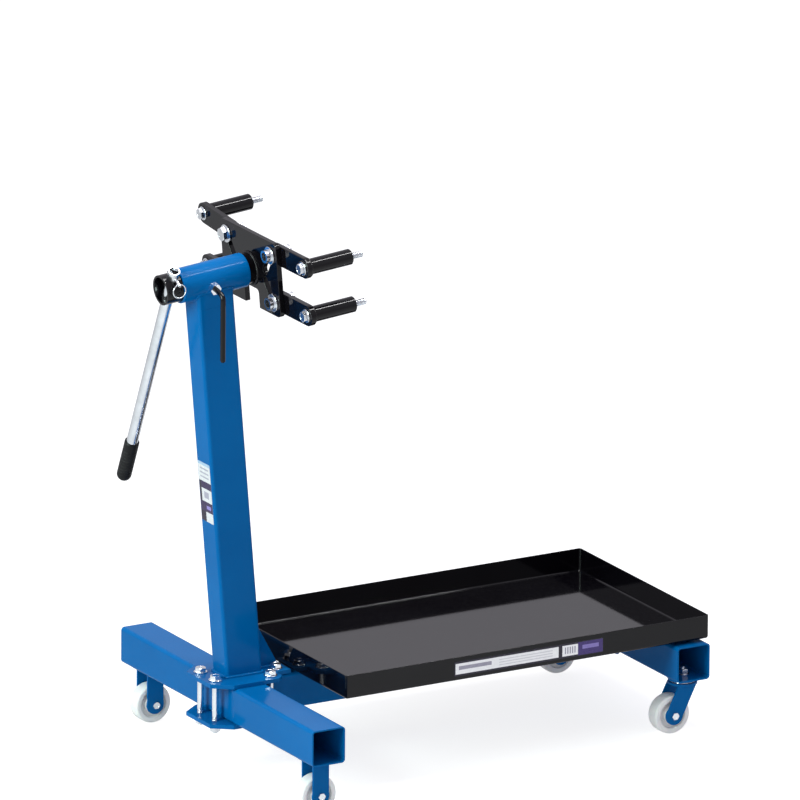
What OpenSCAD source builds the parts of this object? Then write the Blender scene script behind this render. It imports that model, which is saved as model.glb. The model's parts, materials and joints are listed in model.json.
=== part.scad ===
// Engine stand: a wheeled T-shaped base, a leaning mast and a turning head with four arms.
// Millimetres. +X runs from the mast to the drip tray, +Y to the left and +Z up. The floor is Z = 0,
// and the origin is under the centre of the whole stand.

/* [Legs and beam] */
// Outside size of the square tube of both legs and the beam
leg_size = 70; // [60:1:90]
// Wall of the leg and beam tube
leg_wall = 3; // [2:0.5:4.5]
// Outside corner radius of the leg and beam tube
leg_corner = 7; // [5:0.5:10]
// Length of the rear leg, which carries the mast
rear_leg_l = 725; // [600:5:900]
// Length of the front leg, under the end of the tray
front_leg_l = 500; // [480:5:700]
// Distance between the centre lines of the two legs
leg_spacing = 848; // [700:4:1020]

/* [Mast] */
// Mast tube size along the stand
mast_x_size = 76; // [60:1:92]
// Mast tube size across the stand
mast_y_size = 56; // [48:1:64]
// Wall of the mast tube
mast_wall = 3.5; // [2:0.5:5]
// Outside corner radius of the mast tube
mast_corner = 6; // [5:0.5:12]
// Length of the mast axis, from the top of the leg to the axis of the collar
mast_h = 782; // [600:2:950]
// Angle by which the mast leans back, away from the tray
mast_lean = 5; // [0:0.5:8]
// Place of the mast axis at the top of the leg, in front of the leg's centre
mast_offset = 12; // [0:1:15]
// Height of the gusset in front of the mast
gusset_h = 85; // [50:1:120]
// Reach of the gusset along the beam
gusset_l = 42; // [30:1:45]
// Thickness of the gusset
gusset_t = 8; // [5:0.5:12]

/* [Mast foot] */
// Thickness of the foot plate and of the clamp plate under the leg
foot_t = 8; // [5:0.5:12]
// How far both plates reach past the faces of the leg
foot_reach = 38; // [34:1:50]
// Cut-off of each rear corner, along the stand
foot_cut_x = 36; // [20:1:45]
// Cut-off of each rear corner, across the stand
foot_cut_y = 28; // [15:1:35]
// Distance from a face of the leg or beam to the foot bolts beside it
foot_bolt_gap = 17; // [12:0.5:20]
// Distance of each rear foot bolt from the centre line
rear_bolt_y = 28; // [20:1:32]
// Diameter of the foot bolts
foot_bolt_d = 12; // [10:1:14]
// Width of the tongue that the beam bolts hold down
tongue_w = 70; // [70:1:90]
// Distance of the beam bolts from the front face of the leg
beam_bolt_x = 47; // [46:1:50]
// Distance of each beam bolt from the centre line
beam_bolt_y = 18; // [18:1:19]

/* [Drip tray] */
// Width of the tray across the stand
tray_w = 477; // [380:1:600]
// Height of the tray's walls
tray_h = 46; // [30:1:70]
// Sheet thickness of the tray
tray_t = 2; // [1.2:0.2:3]
// Distance from the front face of the rear leg to the tray
tray_gap = 72; // [66:1:120]
// How far the tray reaches past the front leg
tray_overhang = 5; // [1:1:40]
// Thickness of the rubber pads under the tray
pad_t = 5; // [3:0.5:10]
// Width of a tray pad
pad_w = 30; // [20:1:50]

/* [Castors] */
// Diameter of the wheels
wheel_d = 75; // [60:1:100]
// Width of the wheels
wheel_w = 30; // [20:1:40]
// Gap between a wheel and each side of its fork
wheel_side_gap = 3; // [1.5:0.5:5]
// Clear height between a wheel and the crown of its fork
wheel_top_gap = 18; // [14:1:30]
// Sheet thickness of the forks
fork_t = 4; // [3:0.5:6]
// Width of each fork side
fork_w = 34; // [26:1:44]
// Diameter of the axle bolts
axle_d = 8; // [6:1:12]
// Distance from the centre line to each rear castor
fixed_castor_y = 313; // [200:1:340]
// Distance from the centre line to each front castor
swivel_castor_y = 210; // [150:1:215]
// Trail of the swivel castors
trail = 29; // [15:1:40]
// Diameter of the swivel castors' king pins
kingpin_d = 12; // [10:1:16]
// Diameter of the swivel castors' upper race
race_d = 56; // [46:1:66]
// Thickness of the upper race
race_t = 6; // [4:0.5:10]
// Thickness of the bearing ring under the race
bearing_t = 3; // [2:0.5:6]

/* [Collar and shaft] */
// Outside diameter of the turning shaft
shaft_d = 57; // [45:1:70]
// Wall of the turning shaft
shaft_wall = 4; // [3:0.5:6]
// Wall of the collar
collar_wall = 4; // [3:0.5:8]
// Length of the collar
collar_l = 140; // [110:1:200]
// Place of the collar's middle in front of the mast axis
collar_offset = 4; // [-10:1:15]
// Height of the saddle between the mast tube and the collar
saddle_h = 15.5; // [8:0.5:30]
// How far the shaft reaches out behind the collar
shaft_behind = 34; // [32:1:60]
// Gap between the collar and the head plate
plate_gap = 16; // [4:1:40]

/* [Clamp screw] */
// Diameter of the clamp screw's bar
screw_d = 10; // [8:1:14]
// Angle of the clamp screw below level
screw_angle = 12; // [10:1:45]
// Place of the clamp screw behind the middle of the collar
screw_behind = 11; // [0:1:30]
// How far the clamp screw stands out from the collar before its bend
screw_out = 37; // [30:1:60]
// Radius of the clamp screw's bend, to the middle of the bar
screw_bend_r = 12; // [9:1:20]
// Length of the clamp screw's hanging arm
screw_arm = 119; // [60:1:160]
// Height of the nut welded to the collar
boss_h = 12; // [8:1:18]
// Size of that nut across its flats
boss_af = 19; // [17:1:27]

/* [Turning handle] */
// Diameter of the handle bar
bar_d = 22; // [16:1:26]
// Wall of the handle bar
bar_wall = 2; // [1.5:0.5:4]
// Distance from the rear end of the shaft to the handle bar
bar_inset = 20; // [16:0.5:20]
// Length of the bar that stands out above the shaft
bar_stub = 16.5; // [10:0.5:40]
// Length from the shaft's axis to the lower end of the grip
bar_reach = 505; // [300:5:550]
// Angle at which the handle hangs out to the left
bar_angle = 29; // [0:1:40]
// Diameter of the grip
grip_d = 28; // [26:1:36]
// Length of the grip
grip_l = 100; // [60:1:140]
// Diameter of the pin through the top of the bar
pin_d = 6; // [5:0.5:7]
// Mean radius of the pull ring on the pin
ring_r = 13; // [10:0.5:14]
// Diameter of the ring's wire
ring_wire_d = 2.2; // [1.6:0.2:2.6]

/* [Head plate and arms] */
// Width of the head plate
plate_w = 210; // [196:1:260]
// Height of the head plate
plate_h = 144; // [136:1:200]
// Thickness of the head plate
plate_t = 10; // [6:0.5:16]
// Corner radius of the head plate
plate_corner = 12; // [4:1:20]
// Width of the notch in the lower edge of the plate
notch_w = 52; // [30:1:60]
// Height of the notch in the lower edge of the plate
notch_h = 36; // [20:1:36]
// Place of each slot's inner end across the plate
slot_y = 58; // [52:1:64]
// Place of each slot's inner end above or below the shaft's axis
slot_z = 11; // [11:1:16]
// Angle of the slots from level
slot_angle = 56; // [45:1:60]
// Distance between the slots' end centres
slot_run = 50; // [46:1:52]
// Distance of the arm bolts from the slots' inner ends
slot_rest = 42.5; // [36:0.5:44]
// Diameter of the arm bolts
arm_bolt_d = 16; // [12:1:16]
// Distance between the two holes of an arm
arm_l = 105; // [80:1:150]
// Width of the arms
arm_w = 40; // [36:1:42]
// Thickness of the arms
arm_t = 10; // [6:0.5:14]
// Angle of the upper left arm above level
raised_arm = 5; // [0:1:10]
// Outside diameter of the arm sleeves
sleeve_d = 30; // [26:1:32]
// Length of the arm sleeves
sleeve_l = 100; // [60:1:160]
// Diameter of the bolts that hold the engine
engine_bolt_d = 12; // [8:1:14]
// Length of each engine bolt that stands out of its sleeve
engine_bolt_out = 25; // [10:1:50]
// How much thinner the plain shank of an engine bolt is than its threaded end
shank_relief = 0.4; // [0.2:0.1:1]

/* [Labels] */
// Thickness of the blank labels
label_t = 0.4; // [0.2:0.1:1]
// Height of the label on the back of the mast
mast_label_h = 117; // [60:1:160]
// Height of that label's middle up the mast
mast_label_z = 371; // [150:1:500]
// Length of the label on the side of the tray
tray_label_l = 320; // [120:1:500]
// Height of the label on the side of the tray
tray_label_h = 28; // [15:1:28]
// Distance from the tray's rear wall to its label
tray_label_x = 231; // [20:1:250]

/* [Hidden] */
$fn = 64;

LEFT = 1;
RIGHT = -1;
UPPER = 1;
LOWER = -1;

// Colours
BLUE = [0.02, 0.33, 0.66];
BLACK = [0.06, 0.06, 0.07];
CHROME = [0.82, 0.83, 0.85];
NYLON = [0.93, 0.93, 0.91];
RUBBER = [0.1, 0.1, 0.1];

// Fits and clearances
running_fit = 0.05; // radial, between a shaft and its hole
bolt_play = 0.25;   // radial, round a bolt that is tightened
face_gap = 0.1;     // between flat faces that slide on each other
seat_gap = 0.02;    // between the pieces of one fastener, so that each is a solid of its own
rest_gap = 0.3;     // between a round piece and what it rests on

// The bend of the clamp screw is a little fuller than its bar, and the bar runs this far into it
bend_swell = 0.2;
bend_lap = 0.5;

// Heights
wheel_r = wheel_d / 2;
crown_drop = race_t + bearing_t + fork_t;
axle_drop = crown_drop + wheel_top_gap + wheel_r;
leg_bottom = axle_drop + wheel_r;
leg_top = leg_bottom + leg_size;
leg_mid = leg_bottom + leg_size / 2;

// Collar, shaft and plate, measured along the shaft from the mast axis
shaft_r = shaft_d / 2;
collar_bore_r = shaft_r + running_fit;
collar_r = collar_bore_r + collar_wall;
collar_rear = collar_offset - collar_l / 2;
collar_front = collar_offset + collar_l / 2;
shaft_rear = collar_rear - shaft_behind;
plate_rear = collar_front + plate_gap;
plate_front = plate_rear + plate_t;
mast_tube_h = mast_h - collar_r - saddle_h;

// The whole stand along X, from the centre of the rear leg, which sets the origin
tray_start = leg_size / 2 + tray_gap;
tray_end = leg_spacing + leg_size / 2 + tray_overhang;
tray_l = tray_end - tray_start;
shaft_back_x = mast_offset + shaft_rear * cos(mast_lean) - (mast_h + shaft_r) * sin(mast_lean);
rear_x = -(shaft_back_x + tray_end) / 2;

// Forks
fork_gap = wheel_w + 2 * wheel_side_gap;
fork_out = fork_gap + 2 * fork_t;
fork_drop = axle_drop - race_t - bearing_t - face_gap;
axle_sleeve_r = axle_d / 2 + 2;

// Handle
bar_r = bar_d / 2;
bar_x = shaft_rear + bar_inset;
bar_top = shaft_r + bar_stub;
pin_z = shaft_r + rest_gap + pin_d / 2;
pin_eye = bar_r + 13;
pin_side = bar_r + 3;
eye_r = ring_wire_d / 2 + 0.6;
ring_y = -(pin_z * sin(bar_angle) + pin_eye * cos(bar_angle));
ring_z = pin_z * cos(bar_angle) - pin_eye * sin(bar_angle);
grip_end = 6;

// Arms
arm_rear = plate_front + face_gap;
arm_front = arm_rear + arm_t;
pivot_y = slot_y + slot_rest * cos(slot_angle);
pivot_z = slot_z + slot_rest * sin(slot_angle);
slot_r = arm_bolt_d / 2 + 0.5;

// ISO sizes of hexagon heads, nuts and washers, as shares of the bolt's diameter
function hex_af(d) = d == 16 ? 24 : round(1.6 * d);
function head_h(d) = 0.63 * d;
function nut_h(d) = 0.83 * d;
function washer_r(d) = d + 1;
function washer_t(d) = 0.2 * d;
function inner_corner(r, wall) = max(r - wall, 0.5);
// X of the mast's front face at a height above the leg
function mast_face(z) = mast_offset + mast_x_size / 2 / cos(mast_lean) - z * tan(mast_lean);

// ---- shapes ----

module rounded_rect(w, h, r) {
    square([w - 2 * r, h], center = true);
    square([w, h - 2 * r], center = true);
    for (x = [-1, 1], y = [-1, 1])
        translate([x * (w / 2 - r), y * (h / 2 - r)]) circle(r);
}

module tube_section(w, h, r, wall) {
    difference() {
        rounded_rect(w, h, r);
        rounded_rect(w - 2 * wall, h - 2 * wall, inner_corner(r, wall));
    }
}

module leg_section() {
    tube_section(leg_size, leg_size, leg_corner, leg_wall);
}

module stadium(run, r) {
    translate([0, -r]) square([run, 2 * r]);
    circle(r);
    translate([run, 0]) circle(r);
}

// A rod standing on Z = 0, with the edge of its upper end rounded
module rounded_rod(l, r, edge) {
    rotate_extrude() {
        square([r, l - edge]);
        square([r - edge, l]);
        translate([r - edge, l - edge]) circle(edge);
    }
}

module hexagon(af) {
    circle(r = af / 2 / cos(30), $fn = 6);
}

module washer(d) {
    translate([0, 0, seat_gap]) linear_extrude(washer_t(d) - 2 * seat_gap) difference() {
        circle(washer_r(d));
        circle(d / 2 + bolt_play);
    }
}

module nut(d) {
    linear_extrude(nut_h(d)) difference() {
        hexagon(hex_af(d));
        circle(d / 2 + seat_gap);
    }
}

// A bolt with the underside of its head at Z = 0 and its shank hanging down
module bolt(d, l) {
    linear_extrude(head_h(d)) hexagon(hex_af(d));
    translate([0, 0, -l]) cylinder(h = l, d = d);
}

// ---- places ----

// Extrudes an outline drawn in Y and Z along +X
module along_x(l) {
    rotate([90, 0, 90]) linear_extrude(l) children();
}

// Extrudes an outline drawn in X and Z to both sides of Y = 0
module along_y(l) {
    rotate([90, 0, 0]) linear_extrude(l, center = true) children();
}

// From the centre of the rear leg, at the height of its top face
module at_leg() {
    translate([rear_x, 0, leg_top]) children();
}

// Up the leaning mast, with +X forward and square to it
module on_mast() {
    at_leg() translate([mast_offset, 0, 0]) rotate([0, -mast_lean, 0]) children();
}

// On the axis of the shaft
module on_shaft() {
    on_mast() translate([0, 0, mast_h]) children();
}

// On the handle bar, which runs along Z here
module on_bar() {
    on_shaft() translate([bar_x, 0, 0]) rotate([bar_angle, 0, 0]) children();
}

// On the clamp screw, which runs outwards along Z here
module on_screw() {
    on_shaft() translate([collar_offset - screw_behind, 0, 0]) rotate([90 + screw_angle, 0, 0]) children();
}

// At an arm's bolt, with the arm along +Y
module at_arm(side, level) {
    lift = side == LEFT && level == UPPER ? raised_arm : 0;
    on_shaft() translate([0, side * pivot_y, level * pivot_z])
        rotate([side == LEFT ? lift : 180, 0, 0]) children();
}

// At the sleeve in the outer end of an arm
module at_sleeve(side, level) {
    at_arm(side, level) translate([arm_rear, arm_l, 0]) children();
}

// Under the rear leg, over the axle of a fixed castor
module at_fixed(side) {
    translate([rear_x, side * fixed_castor_y, leg_bottom]) children();
}

// Under the front leg, on the king pin of a swivel castor
module at_swivel(side) {
    translate([rear_x + leg_spacing, side * swivel_castor_y, leg_bottom]) children();
}

module foot_bolt_places() {
    front = leg_size / 2 + foot_bolt_gap;
    for (s = [LEFT, RIGHT]) {
        translate([-front, s * rear_bolt_y]) children();
        translate([front, s * front]) children();
    }
}

module beam_bolt_places() {
    for (s = [LEFT, RIGHT])
        translate([leg_size / 2 + beam_bolt_x, s * beam_bolt_y]) children();
}

// ---- base ----

module rear_leg() {
    color(BLUE) translate([rear_x, 0, leg_mid]) along_y(rear_leg_l) leg_section();
}

module front_leg() {
    color(BLUE) difference() {
        translate([rear_x + leg_spacing, 0, leg_mid]) along_y(front_leg_l) leg_section();
        for (s = [LEFT, RIGHT])
            at_swivel(s) translate([0, 0, -1])
                cylinder(h = leg_wall + 2, r = kingpin_d / 2 + bolt_play);
    }
}

module main_beam() {
    color(BLUE) difference() {
        translate([rear_x + leg_size / 2, 0, leg_mid]) along_x(leg_spacing - leg_size) leg_section();
        at_leg() beam_bolt_places() translate([0, 0, -leg_wall - 1])
            cylinder(h = leg_wall + 2, r = foot_bolt_d / 2 + bolt_play);
    }
}

module foot_outline() {
    edge = leg_size / 2 + foot_reach;
    front_cut = foot_cut_y / 2;
    difference() {
        polygon([
            [-edge, -edge + foot_cut_y], [-edge + foot_cut_x, -edge],
            [edge - front_cut, -edge], [edge, -edge + front_cut],
            [edge, edge - front_cut], [edge - front_cut, edge],
            [-edge + foot_cut_x, edge], [-edge, edge - foot_cut_y]
        ]);
        foot_bolt_places() circle(foot_bolt_d / 2 + bolt_play);
    }
}

module foot_plate() {
    tongue_end = tray_start - 2;
    color(BLUE) at_leg() linear_extrude(foot_t) difference() {
        union() {
            foot_outline();
            translate([leg_size / 2 + foot_reach - 1, -tongue_w / 2])
                square([tongue_end - leg_size / 2 - foot_reach + 1, tongue_w]);
        }
        beam_bolt_places() circle(foot_bolt_d / 2 + bolt_play);
    }
}

module clamp_plate() {
    color(BLUE) at_leg() translate([0, 0, -leg_size - foot_t]) linear_extrude(foot_t) foot_outline();
}

module foot_bolts() {
    stack = 2 * foot_t + leg_size + 2 * washer_t(foot_bolt_d);
    color(CHROME) at_leg() foot_bolt_places() translate([0, 0, foot_t + washer_t(foot_bolt_d)])
        bolt(foot_bolt_d, stack + nut_h(foot_bolt_d) + 3);
}

module foot_washers() {
    color(CHROME) at_leg() foot_bolt_places() {
        translate([0, 0, foot_t]) washer(foot_bolt_d);
        translate([0, 0, -leg_size - foot_t - washer_t(foot_bolt_d)]) washer(foot_bolt_d);
    }
}

module foot_nuts() {
    drop = leg_size + foot_t + washer_t(foot_bolt_d) + nut_h(foot_bolt_d);
    color(CHROME) at_leg() foot_bolt_places() translate([0, 0, -drop]) nut(foot_bolt_d);
}

// Each bolt, its washer and its nut inside the beam
module beam_bolts() {
    color(CHROME) at_leg() beam_bolt_places() {
        translate([0, 0, foot_t]) washer(foot_bolt_d);
        translate([0, 0, foot_t + washer_t(foot_bolt_d)])
            bolt(foot_bolt_d, foot_t + leg_wall + washer_t(foot_bolt_d) + nut_h(foot_bolt_d));
        translate([0, 0, -leg_wall - nut_h(foot_bolt_d)]) nut(foot_bolt_d);
    }
}

// ---- mast ----

module mast_column() {
    foot = mast_x_size * sin(mast_lean) + foot_t;
    color(BLUE) difference() {
        on_mast() translate([0, 0, -foot]) linear_extrude(mast_tube_h + foot)
            tube_section(mast_x_size, mast_y_size, mast_corner, mast_wall);
        at_leg() translate([mast_offset - mast_x_size, -mast_y_size, foot_t - 3 * foot])
            cube([2 * mast_x_size, 2 * mast_y_size, 3 * foot]);
    }
}

module mast_gusset() {
    top = foot_t + gusset_h;
    color(BLUE) at_leg() along_y(gusset_t) polygon([
        [mast_face(foot_t), foot_t], [mast_face(foot_t) + gusset_l, foot_t],
        [mast_face(foot_t) + gusset_l, foot_t + 10], [mast_face(top) + 8, top], [mast_face(top), top]
    ]);
}

module mast_label() {
    w = mast_y_size - 2 * mast_corner;
    color(NYLON) on_mast() translate([-mast_x_size / 2 - label_t, -w / 2, mast_label_z - mast_label_h / 2])
        cube([label_t, w, mast_label_h]);
}

// The coped end of the mast, which carries the collar and clears the clamp nut
module collar_saddle() {
    color(BLUE) difference() {
        on_mast() translate([0, 0, mast_tube_h]) linear_extrude(saddle_h + collar_r)
            tube_section(mast_x_size, mast_y_size, mast_corner, mast_wall);
        on_shaft() translate([-mast_x_size, 0, 0]) rotate([0, 90, 0])
            cylinder(h = 2 * mast_x_size, r = collar_r);
        on_screw() cylinder(h = 2 * collar_r, r = boss_af / 2 / cos(30) + seat_gap);
    }
}

module collar_tube() {
    color(BLUE) difference() {
        on_shaft() translate([collar_rear, 0, 0]) rotate([0, 90, 0]) cylinder(h = collar_l, r = collar_r);
        on_shaft() translate([collar_rear - 1, 0, 0]) rotate([0, 90, 0])
            cylinder(h = collar_l + 2, r = collar_bore_r);
        on_screw() cylinder(h = collar_r + 1, r = screw_d / 2 + running_fit);
    }
}

module clamp_nut() {
    color(CHROME) difference() {
        on_screw() linear_extrude(collar_r + boss_h) difference() {
            hexagon(boss_af);
            circle(screw_d / 2 + running_fit);
        }
        on_shaft() translate([collar_rear, 0, 0]) rotate([0, 90, 0]) cylinder(h = collar_l, r = collar_r);
    }
}

// The screw and its bent arm, which hangs straight down
module clamp_screw() {
    tip = shaft_r + rest_gap;
    turn = 90 - screw_angle;
    start = collar_r + screw_out - screw_bend_r * tan(turn / 2);
    plumb = asin(sin(mast_lean) / sin(turn));
    color(BLACK) on_screw() rotate([0, 0, -plumb]) {
        translate([0, 0, tip]) cylinder(h = start - tip + bend_lap, d = screw_d);
        translate([0, -screw_bend_r, start]) {
            rotate([90, 0, 90]) rotate_extrude(angle = turn)
                translate([screw_bend_r, 0]) circle(d = screw_d + bend_swell);
            rotate([turn, 0, 0]) translate([0, screw_bend_r, -bend_lap])
                rounded_rod(screw_arm + bend_lap, screw_d / 2, 2);
        }
    }
}

// ---- tray ----

module drip_tray() {
    color(BLACK) at_leg() translate([tray_start, -tray_w / 2, pad_t]) difference() {
        cube([tray_l, tray_w, tray_h]);
        translate([tray_t, tray_t, tray_t])
            cube([tray_l - 2 * tray_t, tray_w - 2 * tray_t, tray_h]);
    }
}

module tray_label() {
    low = pad_t + (tray_h - tray_label_h) / 2;
    color(NYLON) at_leg() translate([tray_start + tray_label_x, -tray_w / 2 - label_t, low])
        cube([tray_label_l, label_t, tray_label_h]);
}

// Two pads on the beam and two on the front leg
module tray_pads() {
    pad_l = 2 * pad_w;
    beam_pad_w = leg_size - 2 * leg_corner - 6;
    color(RUBBER) at_leg() {
        for (x = [tray_start + pad_l, leg_spacing / 2])
            translate([x, -beam_pad_w / 2, 0]) cube([pad_w, beam_pad_w, pad_t]);
        for (s = [LEFT, RIGHT])
            translate([leg_spacing - pad_w / 2, s * (tray_w / 2 - pad_l) - pad_l / 2, 0])
                cube([pad_w, pad_l, pad_t]);
    }
}

// ---- castors ----

// A wheel on its side axis Y, with a thin web between its tread and hub
module wheel() {
    bore = axle_sleeve_r + running_fit;
    tread = wheel_r * 0.3;
    color(NYLON) rotate([90, 0, 0]) rotate_extrude() {
        translate([wheel_r - tread / 2, 0]) rounded_rect(tread, wheel_w, tread * 0.4);
        translate([bore, -wheel_w * 0.2]) square([wheel_r - tread / 2 - bore, wheel_w * 0.4]);
        translate([bore, -wheel_w / 2]) square([wheel_r * 0.3, wheel_w]);
    }
}

// The tube between the fork's sides, on which the wheel turns
module axle_sleeve() {
    along_y(fork_gap) difference() {
        circle(axle_sleeve_r);
        circle(axle_d / 2 + seat_gap);
    }
}

module axle_bolt() {
    translate([0, -fork_out / 2, 0]) rotate([90, 0, 0])
        bolt(axle_d, fork_out + nut_h(axle_d) + 2);
}

module axle_nut() {
    translate([0, fork_out / 2 + nut_h(axle_d), 0]) rotate([90, 0, 0]) nut(axle_d);
}

// Both sides of a fork, cut from an outline in X and Z, with the axle's holes
module fork_sides(axle_x, axle_z) {
    for (s = [LEFT, RIGHT])
        translate([0, s * (fork_gap + fork_t) / 2, 0]) along_y(fork_t) difference() {
            children();
            translate([axle_x, axle_z]) circle(axle_d / 2);
        }
}

module fixed_forks() {
    color(BLUE) for (s = [LEFT, RIGHT]) at_fixed(s) union() {
        translate([0, 0, -fork_t / 2]) cube([fork_w + 16, fork_out, fork_t], center = true);
        fork_sides(0, -axle_drop) {
            translate([-fork_w / 2, -axle_drop]) square([fork_w, axle_drop]);
            translate([0, -axle_drop]) circle(fork_w / 2 + 1);
        }
    }
}

module fixed_axle_bolts() {
    color(CHROME) for (s = [LEFT, RIGHT]) at_fixed(s) translate([0, 0, -axle_drop]) axle_bolt();
}

module fixed_axle_sleeves() {
    color(CHROME) for (s = [LEFT, RIGHT]) at_fixed(s) translate([0, 0, -axle_drop]) axle_sleeve();
}

module fixed_axle_nuts() {
    color(CHROME) for (s = [LEFT, RIGHT]) at_fixed(s) translate([0, 0, -axle_drop]) axle_nut();
}

module fixed_wheel(side) {
    at_fixed(side) translate([0, 0, -axle_drop]) wheel();
}

module fixed_wheel_left() { fixed_wheel(LEFT); }
module fixed_wheel_right() { fixed_wheel(RIGHT); }

module swivel_races() {
    color(BLUE) for (s = [LEFT, RIGHT]) at_swivel(s) translate([0, 0, -race_t])
        linear_extrude(race_t) difference() {
            circle(d = race_d);
            circle(kingpin_d / 2 + bolt_play);
        }
}

module swivel_bearings() {
    color(CHROME) for (s = [LEFT, RIGHT]) at_swivel(s) translate([0, 0, -race_t - bearing_t])
        linear_extrude(bearing_t) difference() {
            circle(d = race_d - 8);
            circle(kingpin_d / 2 + bolt_play);
        }
}

// The pins' heads are under the fork crowns
module kingpins() {
    drop = crown_drop + 2 * face_gap;
    color(CHROME) for (s = [LEFT, RIGHT]) at_swivel(s) translate([0, 0, -drop]) mirror([0, 0, 1])
        bolt(kingpin_d, drop + leg_wall + washer_t(kingpin_d) + nut_h(kingpin_d) + 4);
}

module kingpin_nuts() {
    color(CHROME) for (s = [LEFT, RIGHT]) at_swivel(s) {
        translate([0, 0, leg_wall]) washer(kingpin_d);
        translate([0, 0, leg_wall + washer_t(kingpin_d)]) nut(kingpin_d);
    }
}

module swivel_fork(side) {
    lean = atan2(fork_drop, trail);
    color(BLUE) at_swivel(side) translate([0, 0, -race_t - bearing_t - face_gap]) difference() {
        union() {
            translate([0, 0, -fork_t]) cylinder(h = fork_t, d = race_d);
            fork_sides(-trail, -fork_drop) intersection() {
                translate([-trail, -fork_drop]) {
                    circle(fork_w / 2 + 1);
                    rotate(lean) translate([0, -fork_w / 2]) square([2 * fork_drop, fork_w]);
                }
                translate([-2 * fork_drop, -2 * fork_drop - fork_t / 2])
                    square([4 * fork_drop, 2 * fork_drop]);
            }
        }
        translate([0, 0, -fork_t - 1]) cylinder(h = fork_t + 2, r = kingpin_d / 2 + running_fit);
    }
}

module swivel_fork_left() { swivel_fork(LEFT); }
module swivel_fork_right() { swivel_fork(RIGHT); }

// The axle bolt, its nut and the sleeve that the wheel turns on
module swivel_axle(side) {
    color(CHROME) at_swivel(side) translate([-trail, 0, -axle_drop]) {
        axle_bolt();
        axle_sleeve();
        axle_nut();
    }
}

module swivel_axle_left() { swivel_axle(LEFT); }
module swivel_axle_right() { swivel_axle(RIGHT); }

module swivel_wheel(side) {
    at_swivel(side) translate([-trail, 0, -axle_drop]) wheel();
}

module swivel_wheel_left() { swivel_wheel(LEFT); }
module swivel_wheel_right() { swivel_wheel(RIGHT); }

// ---- turning head ----

module head_shaft() {
    color(BLACK) difference() {
        on_shaft() translate([shaft_rear, 0, 0]) along_x(plate_front - shaft_rear) difference() {
            circle(shaft_r);
            circle(shaft_r - shaft_wall);
        }
        on_bar() cylinder(h = 2 * shaft_d, r = bar_r + running_fit, center = true);
    }
}

module head_plate() {
    color(BLACK) on_shaft() translate([plate_rear, 0, 0]) along_x(plate_t) difference() {
        rounded_rect(plate_w, plate_h, plate_corner);
        circle(shaft_r);
        translate([0, -plate_h / 2]) rounded_rect(notch_w, 2 * notch_h, 8);
        for (y = [0, 1], z = [0, 1])
            mirror([y, 0]) mirror([0, z])
                translate([slot_y, slot_z]) rotate(slot_angle) stadium(slot_run, slot_r);
    }
}

module handle_bar() {
    color(CHROME) on_bar() difference() {
        translate([0, 0, -bar_reach + grip_end]) linear_extrude(bar_top + bar_reach - grip_end)
            difference() {
                circle(bar_r);
                circle(bar_r - bar_wall);
            }
        translate([0, 0, pin_z]) rotate([90, 0, 0])
            cylinder(h = 2 * bar_d, r = pin_d / 2 + running_fit, center = true);
    }
}

module handle_grip() {
    round_z = -bar_reach + grip_d / 2;
    color(RUBBER) on_bar() difference() {
        union() {
            translate([0, 0, round_z]) cylinder(h = grip_l - grip_d / 2, d = grip_d);
            translate([0, 0, round_z]) sphere(d = grip_d);
        }
        translate([0, 0, -bar_reach + grip_end]) cylinder(h = grip_l, r = bar_r);
    }
}

// A pin through the bar, with a head on one side and an eye for the ring on the other
module handle_pin() {
    color(CHROME) on_bar() translate([0, 0, pin_z]) difference() {
        union() {
            rotate([90, 0, 0]) translate([0, 0, -pin_side]) cylinder(h = pin_side + pin_eye + 4, d = pin_d);
            rotate([-90, 0, 0]) translate([0, 0, pin_side - 2]) cylinder(h = 2.5, d = pin_d + 4);
        }
        translate([0, -pin_eye, 0]) rotate([0, 90, 0]) cylinder(h = 2 * pin_d, r = eye_r, center = true);
    }
}

module pull_ring() {
    color(CHROME) on_shaft() translate([bar_x, ring_y, ring_z - ring_r]) rotate([90, 0, 0])
        rotate_extrude() translate([ring_r, 0]) circle(d = ring_wire_d);
}

// The bolt through a slot, its two washers and its nut
module arm_bolt(side, level) {
    t = washer_t(arm_bolt_d);
    seat = plate_rear - face_gap - t;
    color(CHROME) at_arm(side, level) rotate([0, -90, 0]) {
        translate([0, 0, -seat]) bolt(arm_bolt_d, arm_front - seat + t + nut_h(arm_bolt_d) + face_gap + 4);
        translate([0, 0, -seat - t]) washer(arm_bolt_d);
        translate([0, 0, -arm_front - face_gap - t]) washer(arm_bolt_d);
        translate([0, 0, -arm_front - face_gap - t - nut_h(arm_bolt_d)]) nut(arm_bolt_d);
    }
}

module arm_bolt_upper_left() { arm_bolt(LEFT, UPPER); }
module arm_bolt_upper_right() { arm_bolt(RIGHT, UPPER); }
module arm_bolt_lower_left() { arm_bolt(LEFT, LOWER); }
module arm_bolt_lower_right() { arm_bolt(RIGHT, LOWER); }

module arm(side, level) {
    color(BLACK) at_arm(side, level) translate([arm_rear, 0, 0]) along_x(arm_t) difference() {
        stadium(arm_l, arm_w / 2);
        circle(arm_bolt_d / 2 + running_fit);
        translate([arm_l, 0]) circle(d = sleeve_d);
    }
}

module arm_upper_left() { arm(LEFT, UPPER); }
module arm_upper_right() { arm(RIGHT, UPPER); }
module arm_lower_left() { arm(LEFT, LOWER); }
module arm_lower_right() { arm(RIGHT, LOWER); }

module arm_sleeve(side, level) {
    color(BLACK) at_sleeve(side, level) along_x(sleeve_l) difference() {
        circle(d = sleeve_d);
        circle(engine_bolt_d / 2 + bolt_play);
    }
}

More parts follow.
